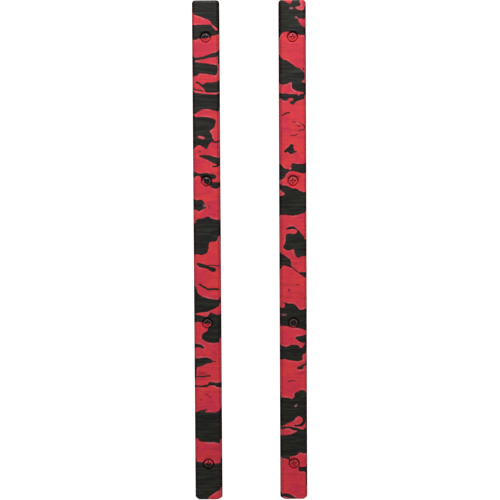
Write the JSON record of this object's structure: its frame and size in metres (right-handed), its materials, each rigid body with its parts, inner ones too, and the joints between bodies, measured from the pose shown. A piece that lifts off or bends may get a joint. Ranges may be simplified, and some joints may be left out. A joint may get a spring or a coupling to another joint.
{
  "type": "skateboard deck rails",
  "caption": "Pair of slim moulded plastic rails for a skateboard deck, with drafted sides, cored undersides and sunk cross-recess screws.",
  "frame": {"origin": "midway between the two rails and their screws, on the plane where the undersides meet the deck", "axes": "+Y along the rails, +X from the left rail to the right rail, +Z out of the deck; the screw threads stand below Z = 0, where the deck is"},
  "size_m": [0.082, 0.3618, 0.0158],
  "materials": {
    "swirl_plastic": "satin moulded polyethylene, red and black swirled together in the mould",
    "lacquered_screw": "steel screw, its head lacquered red and black to match the rail"
  },
  "bodies": {
    "rail_left": {"rail_left": "swirl_plastic"},
    "rail_right": {"rail_right": "swirl_plastic"},
    "screw_left_1": {"screw_left_1": "lacquered_screw"},
    "screw_left_2": {"screw_left_2": "lacquered_screw"},
    "screw_left_3": {"screw_left_3": "lacquered_screw"},
    "screw_left_4": {"screw_left_4": "lacquered_screw"},
    "screw_right_1": {"screw_right_1": "lacquered_screw"},
    "screw_right_2": {"screw_right_2": "lacquered_screw"},
    "screw_right_3": {"screw_right_3": "lacquered_screw"},
    "screw_right_4": {"screw_right_4": "lacquered_screw"}
  },
  "joints": [
    {"name": "pair_spacing", "type": "slide", "parent": "rail_left", "child": "rail_right", "axis": [1, 0, 0], "range_m": [-0.04, 0.12]},
    {"name": "screw_left_1_draw", "type": "slide", "parent": "rail_left", "child": "screw_left_1", "axis": [0, 0, 1], "range_m": [0, 0.018]},
    {"name": "screw_left_2_draw", "type": "slide", "parent": "rail_left", "child": "screw_left_2", "axis": [0, 0, 1], "range_m": [0, 0.018]},
    {"name": "screw_left_3_draw", "type": "slide", "parent": "rail_left", "child": "screw_left_3", "axis": [0, 0, 1], "range_m": [0, 0.018]},
    {"name": "screw_left_4_draw", "type": "slide", "parent": "rail_left", "child": "screw_left_4", "axis": [0, 0, 1], "range_m": [0, 0.018]},
    {"name": "screw_right_1_draw", "type": "slide", "parent": "rail_right", "child": "screw_right_1", "axis": [0, 0, 1], "range_m": [0, 0.018]},
    {"name": "screw_right_2_draw", "type": "slide", "parent": "rail_right", "child": "screw_right_2", "axis": [0, 0, 1], "range_m": [0, 0.018]},
    {"name": "screw_right_3_draw", "type": "slide", "parent": "rail_right", "child": "screw_right_3", "axis": [0, 0, 1], "range_m": [0, 0.018]},
    {"name": "screw_right_4_draw", "type": "slide", "parent": "rail_right", "child": "screw_right_4", "axis": [0, 0, 1], "range_m": [0, 0.018]}
  ]
}
